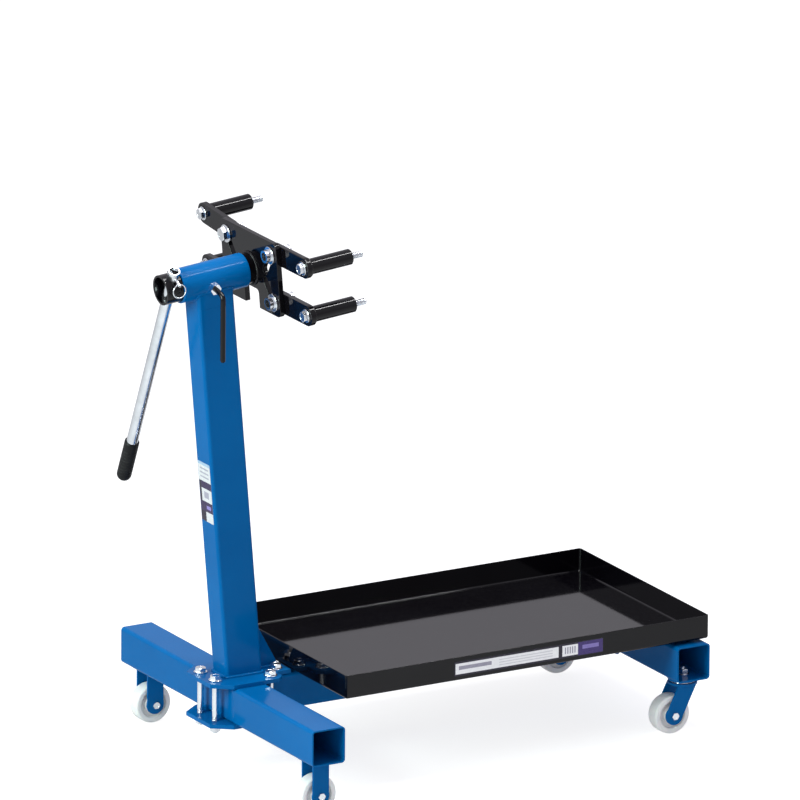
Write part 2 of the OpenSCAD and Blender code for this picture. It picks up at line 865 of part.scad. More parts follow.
module arm_sleeve_upper_left() { arm_sleeve(LEFT, UPPER); }
module arm_sleeve_upper_right() { arm_sleeve(RIGHT, UPPER); }
module arm_sleeve_lower_left() { arm_sleeve(LEFT, LOWER); }
module arm_sleeve_lower_right() { arm_sleeve(RIGHT, LOWER); }

// The bolt through a sleeve and its washer. Only the end that stands out has the full diameter.
module engine_bolt(side, level) {
    t = washer_t(engine_bolt_d);
    color(CHROME) at_sleeve(side, level) rotate([0, -90, 0]) {
        washer(engine_bolt_d);
        translate([0, 0, t]) linear_extrude(head_h(engine_bolt_d)) hexagon(hex_af(engine_bolt_d));
        translate([0, 0, -sleeve_l]) cylinder(h = sleeve_l + t, d = engine_bolt_d - shank_relief);
        translate([0, 0, -sleeve_l - engine_bolt_out]) cylinder(h = engine_bolt_out, d = engine_bolt_d);
    }
}

module engine_bolt_upper_left() { engine_bolt(LEFT, UPPER); }
module engine_bolt_upper_right() { engine_bolt(RIGHT, UPPER); }
module engine_bolt_lower_left() { engine_bolt(LEFT, LOWER); }
module engine_bolt_lower_right() { engine_bolt(RIGHT, LOWER); }

rear_leg();
front_leg();
main_beam();
mast_column();
mast_gusset();
mast_label();
foot_plate();
clamp_plate();
foot_bolts();
foot_washers();
foot_nuts();
beam_bolts();
collar_saddle();
collar_tube();
clamp_nut();
clamp_screw();
drip_tray();
tray_label();
tray_pads();
fixed_forks();
fixed_axle_bolts();
fixed_axle_sleeves();
fixed_axle_nuts();
fixed_wheel_left();
fixed_wheel_right();
swivel_races();
swivel_bearings();
kingpins();
kingpin_nuts();
swivel_fork_left();
swivel_fork_right();
swivel_axle_left();
swivel_axle_right();
swivel_wheel_left();
swivel_wheel_right();
head_shaft();
head_plate();
handle_bar();
handle_grip();
handle_pin();
pull_ring();
arm_bolt_upper_left();
arm_bolt_upper_right();
arm_bolt_lower_left();
arm_bolt_lower_right();
arm_upper_left();
arm_upper_right();
arm_lower_left();
arm_lower_right();
arm_sleeve_upper_left();
arm_sleeve_upper_right();
arm_sleeve_lower_left();
arm_sleeve_lower_right();
engine_bolt_upper_left();
engine_bolt_upper_right();
engine_bolt_lower_left();
engine_bolt_lower_right();
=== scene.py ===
"""Looks of the engine stand: painted steel tubes and plates, weld beads, chamfered and threaded fasteners,
nylon wheels, a pressed drip tray and blank labels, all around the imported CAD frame. Metres."""

import json
from math import ceil, cos, hypot, pi, radians, sin, sqrt, tan

import bmesh
import bpy
from mathutils import Matrix, Vector


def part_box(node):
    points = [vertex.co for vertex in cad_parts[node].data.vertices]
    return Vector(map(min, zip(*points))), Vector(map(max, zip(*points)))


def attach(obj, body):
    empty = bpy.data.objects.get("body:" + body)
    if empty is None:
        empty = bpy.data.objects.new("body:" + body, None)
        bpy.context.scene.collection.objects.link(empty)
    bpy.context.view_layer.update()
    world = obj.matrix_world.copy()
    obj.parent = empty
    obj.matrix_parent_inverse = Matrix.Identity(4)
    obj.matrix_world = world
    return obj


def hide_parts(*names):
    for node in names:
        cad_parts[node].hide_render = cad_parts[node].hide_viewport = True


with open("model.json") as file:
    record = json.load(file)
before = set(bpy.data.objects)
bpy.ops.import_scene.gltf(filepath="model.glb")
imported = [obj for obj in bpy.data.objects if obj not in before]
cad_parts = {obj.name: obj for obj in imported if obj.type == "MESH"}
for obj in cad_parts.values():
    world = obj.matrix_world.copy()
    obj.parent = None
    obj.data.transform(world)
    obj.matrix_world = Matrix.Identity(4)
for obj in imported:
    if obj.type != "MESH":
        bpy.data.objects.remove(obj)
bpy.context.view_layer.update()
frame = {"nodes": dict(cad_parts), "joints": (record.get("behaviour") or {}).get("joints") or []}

BLUE, BLACK, CHROME = "blue_gloss_paint", "black_gloss_paint", "chrome_plate"
NYLON, RUBBER, VINYL = "white_nylon", "black_rubber", "label_vinyl"

# ---- camera and light ----
CAMERA_YAW = radians(60.03)  # from the stand's length towards its left side
CAMERA_PITCH = radians(17.02)  # below level
CAMERA_ROLL = radians(0.42)
CAMERA_AIM = Vector((-0.0098, 0, 0.6606))
CAMERA_AWAY = 37.17
CAMERA_LENS = 900  # mm

# ---- sizes shared with the frame ----
LEG_WALL = 0.003
LEG_CORNER = 0.007
MAST_CORNER = 0.006
LOOSE = 0.00025  # play round a bolt
FOOT_BOLT = 0.012
ARM_BOLT = 0.016
ENGINE_BOLT = 0.012
AXLE_BOLT = 0.008
KING_PIN = 0.012
CROWN = 0.475  # radius where a hexagon's chamfer starts, by its width across flats
SAME_POINT = 2e-6
PITCH = {0.008: 0.00125, 0.012: 0.00175, 0.016: 0.002}  # coarse thread by diameter

# ---- sizes of the finish ----
ROUND = 64  # points round a turned piece
HEX_POINTS = 36
SHARP = radians(34)  # a steeper edge stays crisp
TUBE_EASE = 0.0007
PLATE_EASE = 0.0011
SEAM = 0.003  # radius of a weld bead
THIN_SEAM = 0.0022
RIPPLE_LENGTH = 0.0026
RIPPLE_DEPTH = 0.16

JOINTS = {j["name"]: j for j in frame["joints"]}
LEVEL = Matrix.Identity(4)
RAIL = Vector((1, 0, 0))


# ---------------------------------------------------------------- places

def placed(origin, z, x=RAIL):
    """A frame at origin, with Z along z and X as near to x as it can be."""
    z = Vector(z).normalized()
    y = z.cross(Vector(x)).normalized()
    turn = Matrix((y.cross(z), y, z)).transposed().to_4x4()
    turn.translation = Vector(origin)
    return turn


def joint_place(name, flip=False, x=RAIL):
    """A frame at a joint, with Z along the joint's axis, or against it."""
    joint = JOINTS[name]
    axis = Vector(joint["axis"])
    return placed(joint["pos_m"], -axis if flip else axis, x)


SHAFT_AXIS = Vector(JOINTS["head_turn"]["axis"]).normalized()
# Z runs forward along the shaft, X points down the mast and Y to the left
ON_SHAFT = placed(JOINTS["head_turn"]["pos_m"], SHAFT_AXIS, (0, 0, -1))


def points_of(node, place=LEVEL):
    """The corners of a CAD node, in a frame of its own."""
    inside = place.inverted()
    return [inside @ v.co for v in frame["nodes"][node].data.vertices]


def span(points):
    """Lowest and highest corner of some points."""
    low = Vector(min(p[i] for p in points) for i in range(3))
    high = Vector(max(p[i] for p in points) for i in range(3))
    return low, high


def islands(node, place):
    """(low, high) of each separate solid in a CAD node, in a frame of its own."""
    mesh = bmesh.new()
    mesh.from_mesh(frame["nodes"][node].data)
    bmesh.ops.remove_doubles(mesh, verts=mesh.verts, dist=SAME_POINT)
    inside = place.inverted()
    left = set(mesh.verts)
    found = []
    while left:
        front = [left.pop()]
        corners = []
        while front:
            vertex = front.pop()
            corners.append(inside @ vertex.co)
            for edge in vertex.link_edges:
                other = edge.other_vert(vertex)
                if other in left:
                    left.discard(other)
                    front.append(other)
        found.append(span(corners))
    mesh.free()
    return sorted(found, key=lambda box: (tuple(box[0]), tuple(box[1])))


# ---------------------------------------------------------------- surfaces

def circle(radius, z, count=ROUND):
    """A ring of points round Z, or its middle where the radius is nothing."""
    if radius <= 0:
        return [(0, 0, z)]
    return [(radius * cos(2 * pi * i / count), radius * sin(2 * pi * i / count), z) for i in range(count)]


def box_ring(x0, x1, y0, y1, z, corner, steps=6):
    """A rectangle of points with round corners, anticlockwise from above."""
    ring = []
    left, right, near, far = x0 + corner, x1 - corner, y0 + corner, y1 - corner
    for quarter, (x, y) in enumerate(((right, far), (left, far), (left, near), (right, near))):
        for step in range(steps + 1):
            a = pi / 2 * (quarter + step / steps)
            ring.append((x + corner * cos(a), y + corner * sin(a), z))
    return ring


def skin(rings, closed=False):
    """A surface through rings with the same number of points, where a ring of one point is a pole."""
    points = [p for ring in rings for p in ring]
    starts = [sum(len(ring) for ring in rings[:i]) for i in range(len(rings))]
    pairs = [(i, i + 1) for i in range(len(rings) - 1)] + ([(len(rings) - 1, 0)] if closed else [])
    faces = []
    for a, b in pairs:
        size_a, size_b = len(rings[a]), len(rings[b])
        count = max(size_a, size_b)
        for i in range(count):
            j = (i + 1) % count
            corners = [starts[a] + i % size_a, starts[a] + j % size_a, starts[b] + j % size_b, starts[b] + i % size_b]
            faces.append(list(dict.fromkeys(corners)))
    return points, faces


def turned(profile, closed=False, count=ROUND):
    """A turned shape from (radius, height) points."""
    return skin([circle(r, z, count) for r, z in profile], closed)


def moved(shape, place):
    """A shape put where a frame says."""
    points, faces = shape
    return [place @ Vector(p) for p in points], faces


def arc(middle, radius, start, end, steps=6):
    """(radius, height) points round a fillet, by its angles in degrees."""
    angles = [radians(start + (end - start) * i / steps) for i in range(steps + 1)]
    return [(middle[0] + radius * cos(a), middle[1] + radius * sin(a)) for a in angles]


def rounded_path(points, bend, steps=10):
    """A path through points, with each inner corner made a round bend."""
    path = [points[0]]
    for before, corner, after in zip(points, points[1:], points[2:]):
        a, b = (before - corner).normalized(), (after - corner).normalized()
        half = a.angle(b) / 2
        reach = bend / tan(half)
        middle = corner + (a + b).normalized() * bend / sin(half)
        start = corner + a * reach - middle
        aside = (corner + b * reach - middle).project(a).normalized() * bend
        turn = pi - 2 * half
        path += [middle + start * cos(turn * i / steps) + aside * sin(turn * i / steps) for i in range(steps + 1)]
    return path + [points[-1]]


def swept(path, radii, count=24):
    """A round bar along a path, with its ends closed."""
    side = (path[1] - path[0]).orthogonal().normalized()
    rings = [[path[0]]]
    for i, (point, radius) in enumerate(zip(path, radii)):
        along = (path[min(i + 1, len(path) - 1)] - path[max(i - 1, 0)]).normalized()
        side = (side - along * side.dot(along)).normalized()
        up = along.cross(side)
        rings.append([point + (side * x + up * y) * radius for x, y, _ in circle(1, 0, count)])
    return skin(rings + [[path[-1]]])


# ---------------------------------------------------------------- pieces

def keep(obj, body, slot, nodes=(), material=None):
    """Gives a finished piece the material of its slot, puts it on its body and hides the CAD nodes that it stands
    for.
    """
    obj.data.materials.clear()
    obj.data.materials.append(material or MATERIALS[slot])
    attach(obj, body)
    if nodes:
        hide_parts(*nodes)
    return obj


def piece(name, shapes, body, slot, nodes=(), material=None, sharp=SHARP):
    """One piece from closed shapes, with its faces pointing outwards."""
    mesh = bmesh.new()
    for points, faces in shapes:
        corners = [mesh.verts.new(p) for p in points]
        for face in faces:
            mesh.faces.new([corners[i] for i in face])
    bmesh.ops.recalc_face_normals(mesh, faces=mesh.faces)
    data = bpy.data.meshes.new(name)
    mesh.to_mesh(data)
    mesh.free()
    data.shade_smooth()
    data.set_sharp_from_angle(angle=sharp)
    obj = bpy.data.objects.new(name, data)
    bpy.context.scene.collection.objects.link(obj)
    obj.modifiers.new("Weigh", "WEIGHTED_NORMAL").keep_sharp = True
    return keep(applied(obj), body, slot, nodes, material)


def applied(obj):
    """The object's mesh with its modifiers made real."""
    graph = bpy.context.evaluated_depsgraph_get()
    data = bpy.data.meshes.new_from_object(obj.evaluated_get(graph), preserve_all_data_layers=True, depsgraph=graph)
    obj.modifiers.clear()
    obj.data = data
    return obj


def eased(node, body, slot, ease, steps=2):
    """A CAD node again, with its sharp edges rounded as a painted edge is."""
    mesh = bmesh.new()
    mesh.from_mesh(frame["nodes"][node].data)
    bmesh.ops.remove_doubles(mesh, verts=mesh.verts, dist=SAME_POINT)
    bmesh.ops.dissolve_limit(mesh, angle_limit=radians(0.5), verts=mesh.verts, edges=mesh.edges)
    data = bpy.data.meshes.new(node + "_eased")
    mesh.to_mesh(data)
    mesh.free()
    data.shade_smooth()
    obj = bpy.data.objects.new(node + "_eased", data)
    bpy.context.scene.collection.objects.link(obj)
    bevel = obj.modifiers.new("Ease", "BEVEL")
    bevel.width, bevel.segments, bevel.limit_method, bevel.angle_limit = ease, steps, "ANGLE", SHARP
    bevel.use_clamp_overlap = True
    weigh = obj.modifiers.new("Weigh", "WEIGHTED_NORMAL")
    weigh.keep_sharp = True
    return keep(applied(obj), body, slot, [node])


# ---------------------------------------------------------------- fasteners

def hex_ring(across, z, drop=0.0, count=HEX_POINTS):
    """Points round a hexagon. Each corner falls away by the chamfer's slope, drop."""
    ring = []
    for i in range(count):
        a = 2 * pi * i / count
        radius = across / 2 / cos((a % (pi / 3)) - pi / 6)
        ring.append((radius * cos(a), radius * sin(a), z - drop * max(0, radius - CROWN * across)))
    return ring


def hexagon_head(across, height):
    """A bolt's head on Z = 0, with a washer face below and a 30 degree chamfer on top."""
    face, dish, slope = 0.0004, 0.0003, tan(radians(30))
    crown = CROWN * across
    return skin([
        circle(0, 0, HEX_POINTS), circle(crown, 0, HEX_POINTS), circle(crown, face, HEX_POINTS),
        hex_ring(across, face), hex_ring(across, height, slope),
        circle(crown, height, HEX_POINTS), circle(0.8 * crown, height, HEX_POINTS),
        circle(0.76 * crown, height - dish, HEX_POINTS), circle(0, height - dish, HEX_POINTS)])


def hexagon_nut(across, height, bore):
    """A nut on Z = 0, chamfered on both faces, with a countersunk bore."""
    slope = tan(radians(30))
    crown = CROWN * across
    sink = 0.0008
    return skin([
        circle(bore, sink, HEX_POINTS), circle(bore + sink, 0, HEX_POINTS), circle(crown, 0, HEX_POINTS),
        hex_ring(across, 0, -slope), hex_ring(across, height, slope),
        circle(crown, height, HEX_POINTS), circle(bore + sink, height, HEX_POINTS),
        circle(bore, height - sink, HEX_POINTS)], closed=True)


def bolt_shank(diameter, length, thread, plain=None):
    """A shank from Z = 0 down, with a helical thread over its last stretch and a chamfered point."""
    pitch = PITCH[diameter]
    radius, depth = diameter / 2, 0.6 * PITCH[diameter]
    rows, count = 5 * ceil(thread / pitch), 24
    rings = [circle(0, 0, count), circle(plain or radius - 0.0001, 0, count)]
    rings.append(circle(plain or radius - 0.0001, -(length - thread), count))
    for row in range(1, rows + 1):
        z = thread * row / rows
        point = max(0.0, z - thread + 1.2 * depth)
        ring = []
        for i in range(count):
            wave = abs(((z / pitch + i / count) % 1) * 2 - 1)
            r = min(radius - depth * min(1, max(0, 1.25 * wave - 0.1)), radius - point)
            ring.append((r * cos(2 * pi * i / count), r * sin(2 * pi * i / count), -(length - thread) - z))
        rings.append(ring)
    return skin(rings + [circle(0, -length, count)])


def washer_disc(diameter, low, high):
    """A flat washer with its outer edges rounded off."""
    hole, rim, edge = diameter / 2 + LOOSE, diameter + 0.001, 0.0005
    profile = [(hole, low), (rim - edge, low), (rim, low + edge)]
    profile += [(rim, high - edge), (rim - edge, high), (hole, high)]
    return turned(profile, closed=True, count=48)


def fasteners(node, body, diameter, place, thread=0.02, plain=None):
    """Every bolt, nut, washer and sleeve of a CAD node, made again in detail. Heads point along the frame's Z."""
    across = 0.024 if diameter == ARM_BOLT else round(1600 * diameter) / 1000
    shapes = []
    for low, high in islands(node, place):
        middle = (low + high) / 2
        wide, tall = min(high.x - low.x, high.y - low.y), high.z - low.z
        here = place @ Matrix.Translation((middle.x, middle.y, 0))
        if tall < 0.3 * diameter:
            shapes.append(moved(washer_disc(diameter, low.z, high.z), here))
        elif tall < 1.2 * diameter:
            here = here @ Matrix.Translation((0, 0, low.z))
            shapes.append(moved(hexagon_nut(across, tall, diameter / 2 + 0.00005), here))
        elif wide > 1.55 * diameter:
            seat = high.z - 0.63 * diameter
            here = here @ Matrix.Translation((0, 0, seat))
            shapes.append(moved(hexagon_head(across, high.z - seat), here))
            shapes.append(moved(bolt_shank(diameter, seat - low.z, thread, plain), here))
        else:
            bore, rim = diameter / 2 + 0.0001, wide / 2
            ends = [(bore, low.z), (rim, low.z), (rim, high.z), (bore, high.z)]
            shapes.append(moved(turned(ends, closed=True, count=40), here))
    return piece(node + "_detailed", shapes, body, CHROME, [node], sharp=radians(25))


# ---------------------------------------------------------------- patterns grown by Geometry Nodes

def add(tree, kind, wires=None, **settings):
    """A node with its settings made and its sockets set or wired."""
    node = tree.nodes.new(kind)
    for name, value in settings.items():
        setattr(node, name, value)
    for name, value in (wires or {}).items():
        if isinstance(value, bpy.types.NodeSocket):
            tree.links.new(value, node.inputs[name])
        else:
            node.inputs[name].default_value = value
    return node


def new_tree(name, sockets):
    """A Geometry Nodes tree with one geometry in, one out and the named inputs."""
    tree = bpy.data.node_groups.new(name, "GeometryNodeTree")
    tree.interface.new_socket("Geometry", in_out="INPUT", socket_type="NodeSocketGeometry")
    for label, kind in sockets:
        tree.interface.new_socket(label, in_out="INPUT", socket_type="NodeSocket" + kind)
    tree.interface.new_socket("Geometry", in_out="OUTPUT", socket_type="NodeSocketGeometry")
    return tree, tree.nodes.new("NodeGroupInput").outputs


def end_tree(tree, geometry, material):
    """Makes instances real, sets the material and ends the tree."""
    real = add(tree, "GeometryNodeRealizeInstances", {"Geometry": geometry})
    smooth = add(tree, "GeometryNodeSetShadeSmooth", {"Geometry": real.outputs[0]})
    painted = add(tree, "GeometryNodeSetMaterial", {"Geometry": smooth.outputs[0], "Material": material})
    add(tree, "NodeGroupOutput", {"Geometry": painted.outputs[0]})
    return tree


def weld_tree():
    """A rippled bead that follows the edges it is given."""
    sockets = [("Radius", "Float"), ("Ripple", "Float"), ("Depth", "Float"), ("Material", "Material")]
    tree, given = new_tree("Weld Bead", sockets)
    curve = add(tree, "GeometryNodeMeshToCurve", {"Mesh": given["Geometry"]})
    step = add(tree, "ShaderNodeMath", {0: given["Ripple"], 1: 5.0}, operation="DIVIDE")
    wires = {"Curve": curve.outputs[0], "Length": step.outputs[0]}
    even = add(tree, "GeometryNodeResampleCurve", wires, mode="LENGTH")
    run = add(tree, "GeometryNodeSplineParameter")
    phase = add(tree, "ShaderNodeMath", {0: run.outputs["Length"], 1: given["Ripple"]}, operation="DIVIDE")
    turn = add(tree, "ShaderNodeMath", {0: phase.outputs[0], 1: pi}, operation="MULTIPLY")
    wave = add(tree, "ShaderNodeMath", {0: turn.outputs[0]}, operation="SINE")
    crest = add(tree, "ShaderNodeMath", {0: wave.outputs[0]}, operation="ABSOLUTE")
    swell = add(tree, "ShaderNodeMath", {0: crest.outputs[0], 1: given["Depth"], 2: 1.0}, operation="MULTIPLY_ADD")
    outline = add(tree, "GeometryNodeCurvePrimitiveCircle", {"Resolution": 10, "Radius": given["Radius"]})
    bead = add(tree, "GeometryNodeCurveToMesh", {
        "Curve": even.outputs[0], "Profile Curve": outline.outputs[0], "Scale": swell.outputs[0], "Fill Caps": True})
    return end_tree(tree, bead.outputs[0], given["Material"])


def ball_tree():
    """A row of balls on the corners that it is given."""
    tree, given = new_tree("Ball Row", [("Radius", "Float"), ("Material", "Material")])
    ball = add(tree, "GeometryNodeMeshIcoSphere", {"Radius": given["Radius"], "Subdivisions": 3})
    row = add(tree, "GeometryNodeInstanceOnPoints", {"Points": given["Geometry"], "Instance": ball.outputs["Mesh"]})
    return end_tree(tree, row.outputs[0], given["Material"])


def grown(name, lines, tree, values, body, slot):
    """What a tree grows along lines, each a list of points and whether it closes, as one piece."""
    points, edges = [], []
    for line, closes in lines:
        first, last = len(points), len(points) + len(line) - 1
        points += [tuple(p) for p in line]
        edges += [(i, i + 1) for i in range(first, last)] + ([(last, first)] if closes else [])
    data = bpy.data.meshes.new(name)
    data.from_pydata(points, edges, [])
    obj = bpy.data.objects.new(name, data)
    bpy.context.scene.collection.objects.link(obj)
    growth = obj.modifiers.new("Grow", "NODES")
    growth.node_group = tree
    for socket in tree.interface.items_tree:
        if socket.in_out == "INPUT" and socket.name in values:
            growth[socket.identifier] = values[socket.name]
    return keep(applied(obj), body, slot)


def weld(name, lines, body, slot, radius=SEAM):
    """Weld beads along lines, painted with the piece."""
    values = {"Radius": radius, "Ripple": RIPPLE_LENGTH, "Depth": RIPPLE_DEPTH, "Material": MATERIALS[slot]}
    return grown(name, lines, WELD_BEAD, values, body, slot)


# ---------------------------------------------------------------- materials

def new_group(name, inputs, outputs):
    """A shader node group with named inputs, given as name, kind and value, and named outputs."""
    tree = bpy.data.node_groups.new(name, "ShaderNodeTree")
    for label, kind, value in inputs:
        tree.interface.new_socket(label, in_out="INPUT", socket_type="NodeSocket" + kind).default_value = value
    for label, kind in outputs:
        tree.interface.new_socket(label, in_out="OUTPUT", socket_type="NodeSocket" + kind)
    return tree, tree.nodes.new("NodeGroupInput").outputs


def noise(tree, vector, scale, detail=2.0, roughness=0.5):
    """Cloudy noise from 0 to 1."""
    wires = {"Vector": vector, "Scale": scale, "Detail": detail, "Roughness": roughness}
    return add(tree, "ShaderNodeTexNoise", wires).outputs["Fac"]


def between(tree, value, low, high, to_low=0.0, to_high=1.0):
    """A value from one range brought to another, and held at its ends."""
    wires = {"Value": value, "From Min": low, "From Max": high, "To Min": to_low, "To Max": to_high}
    return add(tree, "ShaderNodeMapRange", wires).outputs["Result"]


def calc(tree, operation, first, second):
    """The result of one operation on two values."""
    return add(tree, "ShaderNodeMath", {0: first, 1: second}, operation=operation).outputs[0]


def mixed(tree, share, first, second):
    """One colour over another."""
    mix = add(tree, "ShaderNodeMix", data_type="RGBA")
    for index, value in ((0, share), (6, first), (7, second)):
        if isinstance(value, bpy.types.NodeSocket):
            tree.links.new(value, mix.inputs[index])
        else:
            mix.inputs[index].default_value = value
    return mix.outputs[2]


def edge_wear_group():
    """Where handling rubs the outer edges: 1 on a worn edge, 0 elsewhere."""
    tree, given = new_group("Edge Wear", [("Width", "Float", 0.0015), ("Amount", "Float", 0.5)], [("Worn", "Float")])
    place = add(tree, "ShaderNodeTexCoord").outputs["Object"]
    soft = add(tree, "ShaderNodeBevel", {"Radius": given["Width"]}, samples=4)
    true = add(tree, "ShaderNodeNewGeometry")
    pair = {0: soft.outputs[0], 1: true.outputs["Normal"]}
    match = add(tree, "ShaderNodeVectorMath", pair, operation="DOT_PRODUCT")
    edge = between(tree, match.outputs["Value"], 0.995, 0.90)
    rubbed = between(tree, noise(tree, place, 70.0, 5.0, 0.65), 0.46, 0.62)
    worn = calc(tree, "MULTIPLY", calc(tree, "MULTIPLY", edge, rubbed), given["Amount"])
    add(tree, "NodeGroupOutput", {"Worn": worn})
    return tree


def paint_film_group():
    """The skin of a sprayed coat: orange peel, slow drifts of tone and fine settled dust on what faces up."""
    sockets = [("Peel Scale", "Float", 420.0), ("Dust", "Float", 0.1)]
    tree, given = new_group("Paint Film", sockets, [("Peel", "Float"), ("Tone", "Float"), ("Dust", "Float")])
    place = add(tree, "ShaderNodeTexCoord").outputs["Object"]
    wires = {"Vector": place, "Scale": given["Peel Scale"], "Detail": 1.0}
    peel = add(tree, "ShaderNodeTexNoise", wires).outputs["Fac"]
    up = add(tree, "ShaderNodeSeparateXYZ", {0: add(tree, "ShaderNodeNewGeometry").outputs["Normal"]}).outputs["Z"]
    specks = between(tree, noise(tree, place, 160.0, 6.0, 0.7), 0.45, 0.75)
    dust = calc(tree, "MULTIPLY", calc(tree, "MULTIPLY", between(tree, up, 0.3, 0.95), specks), given["Dust"])
    add(tree, "NodeGroupOutput", {"Peel": peel, "Tone": noise(tree, place, 9.0, 2.0), "Dust": dust})
    return tree


def print_block_group():
    """A rectangle printed on a label, in the label's own UV."""
    sides = (("Left", 0.0), ("Right", 1.0), ("Bottom", 0.0), ("Top", 1.0))
    tree, given = new_group("Print Block", [(side, "Float", value) for side, value in sides], [("Ink", "Float")])
    spot = add(tree, "ShaderNodeSeparateXYZ", {0: add(tree, "ShaderNodeTexCoord").outputs["UV"]}).outputs
    ink = None
    for axis, low, high in (("X", "Left", "Right"), ("Y", "Bottom", "Top")):
        for test, side in (("GREATER_THAN", low), ("LESS_THAN", high)):
            inside = calc(tree, test, spot[axis], given[side])
            ink = inside if ink is None else calc(tree, "MULTIPLY", ink, inside)
    add(tree, "NodeGroupOutput", {"Ink": ink})
    return tree


def new_material(name, **constants):
    """A material and its Principled shader, with the constants set on the shader's own sockets."""
    material = bpy.data.materials.new(name)
    material.use_nodes = True
    tree = material.node_tree
    tree.nodes.clear()
    shader = add(tree, "ShaderNodeBsdfPrincipled", {k.replace("_", " "): v for k, v in constants.items()})
    add(tree, "ShaderNodeOutputMaterial", {"Surface": shader.outputs[0]})
    return material, tree, shader.inputs


def group(tree, kind, **values):
    """A shader node group placed in a material with its own values."""
    return add(tree, "ShaderNodeGroup", {k.replace("_", " "): v for k, v in values.items()}, node_tree=kind).outputs


def bump(tree, height, depth, strength):
    """A normal from a height and its depth in metres."""
    return add(tree, "ShaderNodeBump", {"Height": height, "Distance": depth, "Strength": strength}).outputs[0]


def gloss_paint(name, deep, light, worn_tone, gloss, wear, dust, level):
    """Sprayed gloss enamel with orange peel, drifting tone, a little dust and rubbed edges."""
    material, tree, shader = new_material(name, Specular_IOR_Level=level)
    film = group(tree, PAINT_FILM, Peel_Scale=420.0, Dust=dust)
    worn = group(tree, EDGE_WEAR, Width=0.0016, Amount=wear)["Worn"]
    coat = mixed(tree, between(tree, film["Tone"], 0.35, 0.65), deep, light)
    dusty = mixed(tree, film["Dust"], coat, (0.42, 0.42, 0.41, 1))
    tree.links.new(mixed(tree, worn, dusty, worn_tone), shader["Base Color"])
    rough = between(tree, calc(tree, "ADD", film["Dust"], worn), 0.0, 1.0, gloss, 0.55)
    tree.links.new(rough, shader["Roughness"])
    tree.links.new(bump(tree, film["Peel"], 0.00005, 0.35), shader["Normal"])
    return material


def bright_plate():
    """Bright plating over turned and forged steel, with faint grain and handling marks."""
    material, tree, shader = new_material("Bright Plating")
    place = add(tree, "ShaderNodeTexCoord").outputs["Object"]
    smear = noise(tree, place, 35.0, 4.0, 0.6)
    tone = mixed(tree, between(tree, smear, 0.35, 0.7), (0.86, 0.89, 0.93, 1), (0.72, 0.74, 0.77, 1))
    tree.links.new(tone, shader["Base Color"])
    tree.links.new(between(tree, smear, 0.3, 0.75, 0.09, 0.24), shader["Roughness"])
    tree.links.new(between(tree, smear, 0.2, 0.9, 1.0, 0.97), shader["Metallic"])
    tree.links.new(bump(tree, noise(tree, place, 900.0, 3.0), 0.00001, 0.3), shader["Normal"])
    return material


def moulded_nylon():
    """White moulded nylon, a little grey where it rolls."""
    depth = {"Subsurface_Weight": 0.08, "Subsurface_Scale": 0.003}
    material, tree, shader = new_material("Moulded Nylon", Specular_IOR_Level=0.45, **depth)
    place = add(tree, "ShaderNodeTexCoord").outputs["Object"]
    cloud = noise(tree, place, 55.0, 5.0, 0.6)
    scuffed = group(tree, EDGE_WEAR, Width=0.003, Amount=0.5)["Worn"]
    body = mixed(tree, between(tree, cloud, 0.35, 0.7), (0.88, 0.88, 0.87, 1), (0.80, 0.80, 0.80, 1))
    tree.links.new(mixed(tree, scuffed, body, (0.55, 0.55, 0.55, 1)), shader["Base Color"])
    tree.links.new(between(tree, cloud, 0.3, 0.7, 0.30, 0.46), shader["Roughness"])
    tree.links.new(bump(tree, noise(tree, place, 700.0, 2.0), 0.00004, 0.3), shader["Normal"])
    return material


def moulded_rubber():
    """Black rubber with a fine moulded grain and a paler bloom on its edges."""
    material, tree, shader = new_material("Moulded Rubber", Specular_IOR_Level=0.15)
    place = add(tree, "ShaderNodeTexCoord").outputs["Object"]
    bloom = noise(tree, place, 45.0, 4.0, 0.6)
    rubbed = group(tree, EDGE_WEAR, Width=0.0015, Amount=0.4)["Worn"]
    body = mixed(tree, between(tree, bloom, 0.4, 0.7), (0.006, 0.006, 0.007, 1), (0.012, 0.012, 0.013, 1))
    tree.links.new(mixed(tree, rubbed, body, (0.07, 0.07, 0.07, 1)), shader["Base Color"])
    tree.links.new(between(tree, bloom, 0.3, 0.7, 0.36, 0.55), shader["Roughness"])
    tree.links.new(bump(tree, noise(tree, place, 1500.0, 3.0), 0.00006, 0.5), shader["Normal"])
    return material


def printed_vinyl(name, ground, blocks):
    """A gloss vinyl label: plain blocks of ink over its ground colour, each (left, right, bottom, top, colour)."""
    material, tree, shader = new_material(name, Specular_IOR_Level=0.5)
    colour = ground
    for left, right, bottom, top, ink in blocks:
        printed = group(tree, PRINT_BLOCK, Left=left, Right=right, Bottom=bottom, Top=top)["Ink"]
        colour = mixed(tree, printed, colour, ink)
    place = add(tree, "ShaderNodeTexCoord").outputs["Object"]
    tree.links.new(colour, shader["Base Color"])
    tree.links.new(between(tree, noise(tree, place, 80.0, 3.0), 0.3, 0.7, 0.18, 0.32), shader["Roughness"])
    tree.links.new(bump(tree, noise(tree, place, 500.0), 0.00003, 0.2), shader["Normal"])
    return material


EDGE_WEAR = edge_wear_group()
PAINT_FILM = paint_film_group()
PRINT_BLOCK = print_block_group()
WELD_BEAD = weld_tree()
BALL_ROW = ball_tree()

WHITE_INK = (0.92, 0.92, 0.94, 1)
GREY_INK = (0.33, 0.32, 0.40, 1)
PALE_INK = (0.70, 0.70, 0.74, 1)
PURPLE_INK = (0.045, 0.022, 0.16, 1)
LILAC_INK = (0.23, 0.18, 0.50, 1)
NAVY_INK = (0.008, 0.005, 0.022, 1)
DEEP_INK = (0.018, 0.006, 0.055, 1)

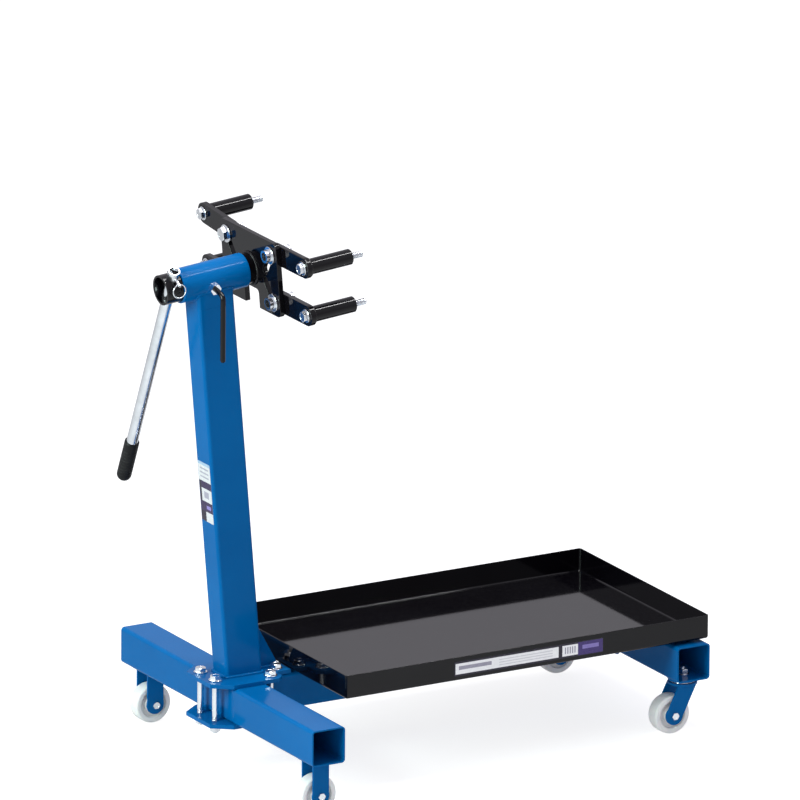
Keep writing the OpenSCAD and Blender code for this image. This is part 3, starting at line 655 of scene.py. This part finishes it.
MATERIALS = {
    BLUE: gloss_paint("Blue Gloss Paint", (0.0, 0.104, 0.325, 1), (0.0, 0.115, 0.352, 1), (0.01, 0.16, 0.41, 1),
                      gloss=0.13, wear=0.5, dust=0.01, level=0.06),
    BLACK: gloss_paint("Black Gloss Paint",
                       (0.0015, 0.0012, 0.0022, 1), (0.0025, 0.0022, 0.0034, 1), (0.05, 0.05, 0.052, 1),
                       gloss=0.06, wear=0.4, dust=0.01, level=0.29),
    CHROME: bright_plate(),
    NYLON: moulded_nylon(),
    RUBBER: moulded_rubber(),
}
TRAY_PRINT = printed_vinyl("Tray Label Print", NAVY_INK, (
    [(0.008, 0.70, 0.13, 0.87, WHITE_INK), (0.725, 0.83, 0.13, 0.87, WHITE_INK),
     (0.83, 0.997, 0.05, 0.95, PURPLE_INK),
     (0.03, 0.25, 0.42, 0.68, GREY_INK), (0.86, 0.97, 0.45, 0.72, LILAC_INK)]
    + [(0.30, 0.66, y, y + 0.07, PALE_INK) for y in (0.28, 0.46, 0.64)]
    + [(x, x + 0.008, 0.28, 0.74, GREY_INK) for x in (0.742, 0.758, 0.774, 0.790, 0.806)]))
MAST_PRINT = printed_vinyl("Mast Label Print", (0.60, 0.60, 0.63, 1), (
    [(0.0, 1.0, 0.56, 0.68, DEEP_INK), (0.0, 0.17, 0.34, 0.68, NAVY_INK), (0.0, 1.0, 0.17, 0.34, DEEP_INK),
     (0.0, 0.42, 0.0, 0.17, NAVY_INK), (0.36, 0.76, 0.40, 0.51, GREY_INK), (0.50, 0.86, 0.22, 0.28, LILAC_INK),
     (0.0, 1.0, 0.95, 1.0, (0.33, 0.45, 0.60, 1))]
    + [(0.14, 0.86, y, y + 0.025, GREY_INK) for y in (0.74, 0.81, 0.88)]))


# ---------------------------------------------------------------- base

def outline_at(node, height):
    """(x0, x1, y0, y1) of a CAD node's corners near a height."""
    low, high = span([p for p in points_of(node) if abs(p.z - height) < 2e-4])
    return low.x, high.x, low.y, high.y


def base():
    """Legs, beam and plates with eased edges, and their beads."""
    for node in ("rear_leg", "front_leg", "main_beam"):
        eased(node, "stand", BLUE, TUBE_EASE)
    for node in ("foot_plate", "clamp_plate", "mast_gusset"):
        eased(node, "stand", BLUE, PLATE_EASE)
    low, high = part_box("main_beam")
    ring = [Vector((high.x - SEAM * 0.4, y, z)) for y, z, _ in box_ring(low.y, high.y, low.z, high.z, 0, LEG_CORNER)]
    weld("beam_weld", [(ring, True)], "stand", BLUE)


def tube_seams():
    """The rolled seam left inside each open leg tube."""
    for node in ("rear_leg", "front_leg"):
        low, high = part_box(node)
        aside, end, bead = 0.012, 0.002, 0.0012
        x = (low.x + high.x) / 2 - aside
        line = [Vector((x, y, high.z - LEG_WALL)) for y in (low.y + end, high.y - end)]
        piece(node + "_seam", [swept(line, [bead, bead], 10)], "stand", BLUE)


def mast():
    """The leaning tube, its coped saddle, and the beads at its foot and along its gusset."""
    eased("mast_column", "stand", BLUE, TUBE_EASE)
    eased("collar_saddle", "stand", BLUE, TUBE_EASE)
    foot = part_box("mast_column")[0].z
    x0, x1, y0, y1 = outline_at("mast_column", foot)
    out, short = SEAM * 0.3, 0.002
    loops = [(box_ring(x0 - out, x1 + out, y0 - out, y1 + out, foot + out, MAST_CORNER), True)]
    low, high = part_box("mast_gusset")
    for side in (low.y - out, high.y + out):
        loops.append(([Vector((x, side, foot + out)) for x in (x1 + SEAM, high.x - short)], False))
        top = Vector((low.x + short, side, high.z - SEAM))
        loops.append(([Vector((x1, side, foot + SEAM)), top], False))
    weld("mast_foot_weld", loops, "stand", BLUE)


def collar():
    """The collar tube with rounded ends, and the bead that joins it to the saddle."""
    low, high = span(points_of("collar_tube", ON_SHAFT))
    rim = high.y
    bore = min(hypot(p.x, p.y) for p in points_of("collar_tube", ON_SHAFT))
    lip, turn = 0.0006, 0.0022
    profile = [(bore + lip, low.z), *arc((rim - turn, low.z + turn), turn, -90, 0)]
    profile += [*arc((rim - turn, high.z - turn), turn, 0, 90), (bore + lip, high.z)]
    profile += [(bore, high.z - lip), (bore, low.z + lip)]
    shape = turned(profile, closed=True, count=96)
    piece("collar_tube_turned", [moved(shape, ON_SHAFT)], "stand", BLUE, ["collar_tube"])
    saddle_low, saddle_high = span(points_of("collar_saddle", ON_SHAFT))
    outline = box_ring(saddle_low.z, saddle_high.z, saddle_low.y, saddle_high.y, 0, MAST_CORNER, 8)
    path = [(y, z) for z, y, _ in outline]
    closely = []
    for (y, z), (next_y, next_z) in zip(path, path[1:] + path[:1]):
        steps = max(1, ceil(hypot(next_y - y, next_z - z) / 0.003))
        closely += [(y + (next_y - y) * i / steps, z + (next_z - z) * i / steps) for i in range(steps)]
    proud = 0.0004
    bead = [ON_SHAFT @ Vector((sqrt(rim * rim - y * y) + proud, y, z)) for y, z in closely]
    weld("collar_weld", [(bead, True)], "stand", BLUE, THIN_SEAM)


def clamp():
    """The clamp screw's nut, and the screw with its hanging arm."""
    out = joint_place("clamp_screw_turn")
    eased("clamp_nut", "stand", CHROME, 0.0006)
    radius, bend, edge, ends = 0.005, 0.012, 0.001, 5
    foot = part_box("clamp_screw")[0].z
    start = out @ Vector((0, 0, min(p.z for p in points_of("clamp_screw", out))))
    low, high = span([p for p in points_of("clamp_screw") if p.z < foot + 0.03])
    plumb = Vector(((low.x + high.x) / 2, (low.y + high.y) / 2, foot))
    axis = out.col[2].to_3d()
    path = rounded_path([start, start + axis * (plumb.y - start.y) / axis.y, plumb], bend)
    turns = [pi / 2 * i / ends for i in range(ends)]
    first = [start + axis * edge * (1 - cos(a)) for a in turns]
    last = [plumb + Vector((0, 0, radius * (1 - sin(a)))) for a in turns] + [plumb]
    radii = [radius - edge + edge * sin(a) for a in turns] + [radius] * (len(path) - 2)
    radii += [radius * cos(a) for a in turns] + [0.0003]
    shape = swept(first + path[1:-1] + last, radii)
    piece("clamp_screw_bent", [shape], "clamp_screw", BLACK, ["clamp_screw"])


def labels():
    """Blank labels with round corners, printed with plain blocks."""
    low, high = span(points_of("mast_label", ON_SHAFT))
    across = placed(ON_SHAFT @ Vector((high.x, high.y, high.z)), -SHAFT_AXIS, (0, -1, 0))
    label("mast_label_vinyl", across, high.y - low.y, high.x - low.x, "stand", "mast_label", MAST_PRINT)
    low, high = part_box("tray_label")
    along = placed((low.x, high.y, low.z), (0, -1, 0), (1, 0, 0))
    label("tray_label_vinyl", along, high.x - low.x, high.z - low.z, "tray", "tray_label", TRAY_PRINT)


def label(name, corner, width, height, body, node, material):
    """A thin label in the first quarter of a frame's X and Y, with its own UV from corner to corner."""
    thick, turn, edge = 0.0004, 0.002, 0.0001
    x, y = width / 2, height / 2
    shape = skin([
        [(x, y, 0)], box_ring(0, width, 0, height, 0, turn), box_ring(0, width, 0, height, thick - edge, turn),
        box_ring(edge, width - edge, edge, height - edge, thick, turn - edge), [(x, y, thick)]])
    obj = piece(name, [moved(shape, corner)], body, VINYL, [node], material)
    layer = obj.data.uv_layers.new(name="Label")
    inside = corner.inverted()
    for loop in obj.data.loops:
        spot = inside @ obj.data.vertices[loop.vertex_index].co
        layer.data[loop.index].uv = (spot.x / width, spot.y / height)


# ---------------------------------------------------------------- tray

def tray():
    """The pressed tray: one sheet with round bends at its floor and corners and a rounded rim."""
    low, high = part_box("drip_tray")
    sheet, corner, bend, steps = 0.002, 0.006, 0.0055, 6
    inner_bend = bend - sheet
    x, y = (low.x + high.x) / 2, (low.y + high.y) / 2
    rings = [[(x, y, low.z)]]

    def loop(inset, z):
        sides = (low.x + inset, high.x - inset, low.y + inset, high.y - inset)
        return box_ring(*sides, z, max(corner - inset, 0.0006), 8)

    for i in range(steps + 1):
        a = pi / 2 * i / steps
        rings.append(loop(bend * (1 - sin(a)), low.z + bend * (1 - cos(a))))
    for i in range(steps + 1):
        a = pi * i / steps
        rings.append(loop(sheet / 2 * (1 - cos(a)), high.z - sheet / 2 + sheet / 2 * sin(a)))
    for i in range(steps + 1):
        a = pi / 2 * i / steps
        rings.append(loop(sheet + inner_bend * (1 - cos(a)), low.z + sheet + inner_bend * (1 - sin(a))))
    rings.append([(x, y, low.z + sheet)])
    piece("drip_tray_pressed", [skin(rings)], "tray", BLACK, ["drip_tray"], sharp=radians(60))
    eased("tray_pads", "tray", RUBBER, 0.001)


# ---------------------------------------------------------------- castors

def wheel(node, joint, body):
    """A moulded wheel: a crowned tread with round shoulders, a dished web and a hub with a bore."""
    place = joint_place(joint)
    high = span(points_of(node, place))[1]
    radius, half = high.x, high.z
    bore = min(hypot(p.x, p.y) for p in points_of(node, place))
    tread, web, hub = 0.3 * radius, 0.4 * half, bore + 0.3 * radius
    shoulder, fillet, crown = 0.4 * tread, 0.0022, 0.0004
    lip, turn = 0.0008, 0.0015
    inner = radius - tread
    half_side = [
        (bore, half - lip), (bore + lip, half), *arc((hub - turn, half - turn), turn, 90, 0, 4),
        *arc((hub + fillet, web + fillet), fillet, 180, 270, 4),
        *arc((inner - fillet, web + fillet), fillet, 270, 360, 4),
        *arc((inner + turn, half - turn), turn, 180, 90, 4),
        *arc((radius - crown - shoulder, half - shoulder), shoulder, 90, 0, 8), (radius - crown / 3, half * 0.4)]
    profile = half_side + [(radius, 0)] + [(r, -z) for r, z in reversed(half_side)]
    piece(node + "_moulded", [moved(turned(profile, closed=True, count=96), place)], body, NYLON, [node])


def castors():
    """Wheels, forks, races, bearings, axles and king pins."""
    for side in ("left", "right"):
        wheel(f"fixed_wheel_{side}", f"wheel_turn_rear_{side}", f"wheel_rear_{side}")
        wheel(f"swivel_wheel_{side}", f"wheel_turn_front_{side}", f"wheel_front_{side}")
        eased(f"swivel_fork_{side}", f"castor_{side}", BLUE, PLATE_EASE)
        axle = joint_place(f"wheel_turn_front_{side}", flip=True)
        fasteners(f"swivel_axle_{side}", f"castor_{side}", AXLE_BOLT, axle, 0.012)
    eased("fixed_forks", "stand", BLUE, PLATE_EASE)
    eased("swivel_races", "stand", BLUE, PLATE_EASE)
    axle = joint_place("wheel_turn_rear_left", flip=True)
    for node in ("fixed_axle_bolts", "fixed_axle_sleeves", "fixed_axle_nuts"):
        fasteners(node, "stand", AXLE_BOLT, axle, 0.012)
    fasteners("kingpins", "stand", KING_PIN, joint_place("castor_swivel_left", flip=True), 0.018)
    fasteners("kingpin_nuts", "stand", KING_PIN, joint_place("castor_swivel_left"))
    bearings()
    below, leg_low = 0.0005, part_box("front_leg")[0].z
    rings = []
    for low, high in islands("swivel_races", LEVEL):
        x, y, radius = (low.x + high.x) / 2, (low.y + high.y) / 2, (high.x - low.x) / 2
        rings.append(([Vector((x, y, leg_low - below)) + Vector(p) for p in circle(radius, 0, 48)], True))
    for low, high in islands("fixed_forks", LEVEL):
        rings.append((box_ring(low.x, high.x, low.y, high.y, high.z - below, 0.002), True))
    weld("castor_weld", rings, "stand", BLUE, 0.0018)


def bearings():
    """Each swivel bearing: a grooved ring with a row of balls."""
    balls, shapes, ball = [], [], 0.0016
    for low, high in islands("swivel_bearings", LEVEL):
        middle, radius = (low + high) / 2, (high.x - low.x) / 2
        hole, lip, half = KING_PIN / 2 + LOOSE, 0.0006, (high.z - low.z) / 2
        groove = radius - ball * 1.1
        upper = [(groove, half - lip), (radius, half - lip), (radius - lip, half), (hole, half)]
        profile = [(r, -z) for r, z in reversed(upper)] + upper
        shapes.append(moved(turned(profile, closed=True), Matrix.Translation(middle)))
        balls += [([middle + Vector(p)], False) for p in circle(radius - ball * 1.05, 0, 44)]
    piece("swivel_bearing_rings", shapes, "stand", CHROME, ["swivel_bearings"])
    values = {"Radius": 0.0009, "Material": MATERIALS[CHROME]}
    grown("swivel_bearing_balls", balls, BALL_ROW, values, "stand", CHROME)


# ---------------------------------------------------------------- turning head

def head():
    """The shaft, its plate and the bead between them."""
    eased("head_shaft", "head", BLACK, 0.0006)
    eased("head_plate", "head", BLACK, PLATE_EASE)
    back = span(points_of("head_plate", ON_SHAFT))[0].z
    radius = max(hypot(p.x, p.y) for p in points_of("head_shaft", ON_SHAFT))
    ring = [ON_SHAFT @ Vector(p) for p in circle(radius + 0.001, back - 0.0006, 72)]
    weld("plate_weld", [(ring, True)], "head", BLACK, 0.0032)


def arms():
    """The four arms, their sleeves with beads, and their bolts."""
    for side in ("left", "right"):
        for level in ("upper", "lower"):
            name = f"{level}_{side}"
            arm, sleeve = f"arm_{name}", f"arm_sleeve_{name}"
            eased(arm, arm, BLACK, 0.0014)
            forward = placed(JOINTS[f"arm_turn_{name}"]["pos_m"], SHAFT_AXIS, (0, 0, -1))
            front = span(points_of(arm, forward))[1].z
            low, high = span(points_of(sleeve, forward))
            middle, radius = (low + high) / 2, (high.x - low.x) / 2
            here = forward @ Matrix.Translation((middle.x, middle.y, 0))
            bore, lip = ENGINE_BOLT / 2 + LOOSE, 0.0008
            profile = [(bore, low.z), (radius - lip, low.z), (radius, low.z + lip), (radius, high.z - 2 * lip)]
            profile += [(radius - 2 * lip, high.z), (bore + lip, high.z), (bore, high.z - lip)]
            piece(sleeve + "_turned", [moved(turned(profile, closed=True), here)], arm, BLACK, [sleeve])
            ring = [here @ Vector(p) for p in circle(radius + 0.0008, front + 0.0005, 60)]
            weld(f"sleeve_weld_{name}", [(ring, True)], arm, BLACK, 0.0026)
            back = placed(JOINTS[f"arm_turn_{name}"]["pos_m"], -SHAFT_AXIS, (0, 0, -1))
            fasteners(f"arm_bolt_{name}", f"bolt_{name}", ARM_BOLT, back, 0.03)
            fasteners(f"engine_bolt_{name}", arm, ENGINE_BOLT, back, 0.025, ENGINE_BOLT / 2 - 0.0002)


# ---------------------------------------------------------------- handle

def handle():
    """The plated bar, its rubber grip, its pin and the pull ring."""
    up = Vector(JOINTS["handle_slide"]["axis"]).normalized()
    bar = points_of("handle_bar")
    place = placed(sum(bar, Vector()) / len(bar), up)
    low, high = span(points_of("handle_bar", place))
    place = place @ Matrix.Translation(((low.x + high.x) / 2, (low.y + high.y) / 2, 0))
    eased("handle_bar", "handle", CHROME, 0.0005)
    eased("handle_pin", "handle", CHROME, 0.0004)
    low, high = span(points_of("handle_grip", place))
    radius = (high.x - low.x) / 2
    bar_radius = 0.0111
    end = low.z + radius
    profile = [(0, low.z), *arc((0, end), radius, -84, -6, 10)]
    first, last, gap, depth = end + 0.004, high.z - 0.009, 0.0075, 0.0005
    grooves = int((last - first) / gap)
    for i in range(grooves):
        z = first + gap * i
        profile += [(radius, z), (radius - depth, z + 0.0006), (radius - depth, z + 0.0014), (radius, z + 0.002)]
    lip, edge, floor = 0.0015, 0.0006, low.z + 0.007
    profile += [(radius, high.z - 0.006), (radius, high.z - lip), (radius - lip, high.z)]
    profile += [(bar_radius + edge, high.z), (bar_radius, high.z - edge), (bar_radius, floor), (0, floor)]
    piece("handle_grip_moulded", [moved(turned(profile), place)], "handle", RUBBER, ["handle_grip"])
    pull_ring()


def pull_ring():
    """A ring of round wire."""
    low, high = span(points_of("pull_ring", ON_SHAFT))
    wire, outer = (high.y - low.y) / 2, (high.z - low.z) / 2
    rings = []
    for x, z, _ in circle(1, 0, 72):
        out = Vector((x, 0, z))
        hub = (low + high) / 2 + out * (outer - wire)
        rings.append([hub + out * c + Vector((0, s, 0)) for c, s, _ in circle(wire, 0, 16)])
    shape = moved(skin(rings, closed=True), ON_SHAFT)
    piece("pull_ring_wire", [shape], "pull_ring", CHROME, ["pull_ring"])


# ---------------------------------------------------------------- stage

def stage():
    """A pale floor, soft studio light and the camera."""
    floor_data = bpy.data.meshes.new("floor")
    reach = 15
    corners = [(x, y, 0) for x, y in ((-reach, -reach), (reach, -reach), (reach, reach), (-reach, reach))]
    floor_data.from_pydata(corners, [], [(0, 1, 2, 3)])
    floor = bpy.data.objects.new("floor", floor_data)
    bpy.context.scene.collection.objects.link(floor)
    floor_data.materials.append(floor_material())
    world_light()
    area_light("key_light", (-3.6, -0.5, 2.0), (-0.1, 0, 0.4), 1.6, 1.6, 124, (0.82, 1, 0.92))
    area_light("strip_light", (0.9, -0.75, 3.1), (-0.42, 0, 0.95), 1.8, 0.14, 45, only_gloss=True)
    area_light("top_light", (-0.1, 0.1, 3.8), (-0.1, 0.1, 0), 1.4, 1.4, 84)
    level = Vector((cos(CAMERA_YAW), sin(CAMERA_YAW), 0))
    forward = level * cos(CAMERA_PITCH) - Vector((0, 0, sin(CAMERA_PITCH)))
    level_right = forward.cross(Vector((0, 0, 1))).normalized()
    level_up = level_right.cross(forward)
    right = level_right * cos(CAMERA_ROLL) + level_up * sin(CAMERA_ROLL)
    up = level_up * cos(CAMERA_ROLL) - level_right * sin(CAMERA_ROLL)
    data = bpy.data.cameras.new("camera")
    data.lens, data.sensor_width, data.clip_end = CAMERA_LENS, 36, 200
    camera = bpy.data.objects.new("camera", data)
    camera.matrix_world = Matrix((right, up, -forward)).transposed().to_4x4()
    camera.location = CAMERA_AIM - forward * CAMERA_AWAY
    bpy.context.scene.collection.objects.link(camera)
    bpy.context.scene.camera = camera
    bpy.context.scene.view_settings.view_transform = "Standard"


def floor_material():
    """A near-white studio floor, brighter to the eye than it is as a lamp, and dimmer on the left side."""
    material, tree, shader = new_material("Studio Floor", Roughness=0.9, Specular_IOR_Level=0.1)
    place = add(tree, "ShaderNodeTexCoord").outputs["Object"]
    side = add(tree, "ShaderNodeSeparateXYZ", {0: place}).outputs["Y"]
    tone = between(tree, noise(tree, place, 3.0), 0.3, 0.7)
    pale = mixed(tree, tone, (0.46, 0.46, 0.47, 1), (0.50, 0.50, 0.51, 1))
    tree.links.new(mixed(tree, between(tree, side, -0.3, 0.8), pale, (0.40, 0.40, 0.41, 1)), shader["Base Color"])
    shader["Emission Color"].default_value = (1, 1, 1, 1)
    seen = add(tree, "ShaderNodeLightPath").outputs["Is Camera Ray"]
    glow = between(tree, side, -0.6, 0.5, 0.34, 0.20)
    tree.links.new(calc(tree, "MAXIMUM", calc(tree, "MULTIPLY", seen, 0.8), glow), shader["Emission Strength"])
    return material


def area_light(name, spot, aim, length, width, power, colour=(1, 1, 1), only_gloss=False):
    """A soft lamp at a spot, aimed at a point, with its length along the stand."""
    data = bpy.data.lights.new(name, "AREA")
    data.shape, data.size, data.size_y, data.energy, data.color = "RECTANGLE", length, width, power, colour
    lamp = bpy.data.objects.new(name, data)
    lamp.matrix_world = placed(spot, Vector(spot) - Vector(aim))
    lamp.visible_diffuse = not only_gloss
    bpy.context.scene.collection.objects.link(lamp)


def world_light():
    """A white surround, brighter overhead than at the horizon, and dimmer as a lamp than in a reflection."""
    world = bpy.data.worlds.new("Studio")
    bpy.context.scene.world = world
    world.use_nodes = True
    tree = world.node_tree
    tree.nodes.clear()
    sky = add(tree, "ShaderNodeTexCoord").outputs["Generated"]
    aim = add(tree, "ShaderNodeSeparateXYZ", {0: sky}).outputs["Z"]
    glow = between(tree, aim, -0.1, 0.9, 0.55, 0.85)
    seen = add(tree, "ShaderNodeLightPath").outputs["Is Diffuse Ray"]
    glow = calc(tree, "MULTIPLY", glow, between(tree, seen, 0.0, 1.0, 1.0, 0.75))
    background = add(tree, "ShaderNodeBackground", {"Color": (0.95, 0.925, 1.0, 1), "Strength": glow})
    add(tree, "ShaderNodeOutputWorld", {"Surface": background.outputs[0]})


base()
tube_seams()
mast()
collar()
clamp()
labels()
tray()
castors()
for foot_node in ("foot_bolts", "foot_washers", "foot_nuts", "beam_bolts"):
    fasteners(foot_node, "stand", FOOT_BOLT, LEVEL, 0.03)
head()
arms()
handle()
stage()
